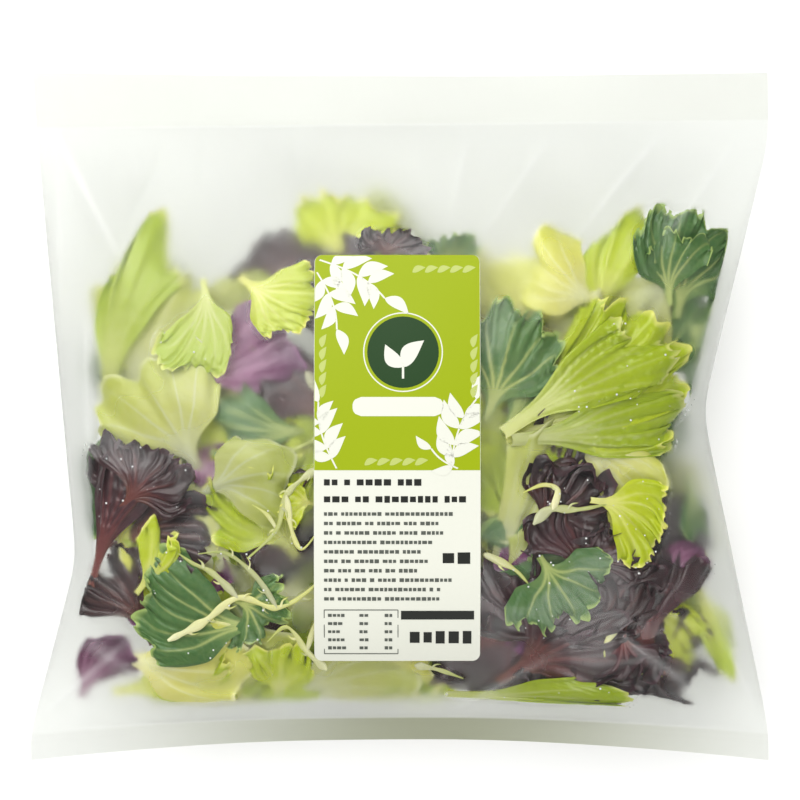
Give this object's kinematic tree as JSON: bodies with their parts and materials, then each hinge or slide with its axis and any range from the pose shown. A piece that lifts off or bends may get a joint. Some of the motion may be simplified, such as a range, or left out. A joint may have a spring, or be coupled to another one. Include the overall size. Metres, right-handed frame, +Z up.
{
  "type": "bag of salad leaves",
  "caption": "Sealed frosted pillow bag of mixed salad leaves lying on its back, welded flat at header and foot, with a tall rectangular label on its front film.",
  "frame": {"origin": "on the floor under the middle of the bag", "axes": "+X across the bag from left to right, +Y along it from the foot to the header, +Z up, out of the labelled front film"},
  "size_m": [0.3, 0.28, 0.0658],
  "materials": {
    "film": "frosted clear film over green and purple leaves",
    "label_stock": "satin self-adhesive label, lime green above and off-white below",
    "leaf_green": "moist green lettuce leaf",
    "leaf_dark": "moist dark green curly leaf",
    "leaf_red": "moist dark red frilled leaf",
    "leaf_pale": "moist pale yellow-green leaf and rib"
  },
  "bodies": {
    "root": {"bag": "film", "label": "label_stock"}
  },
  "joints": []
}
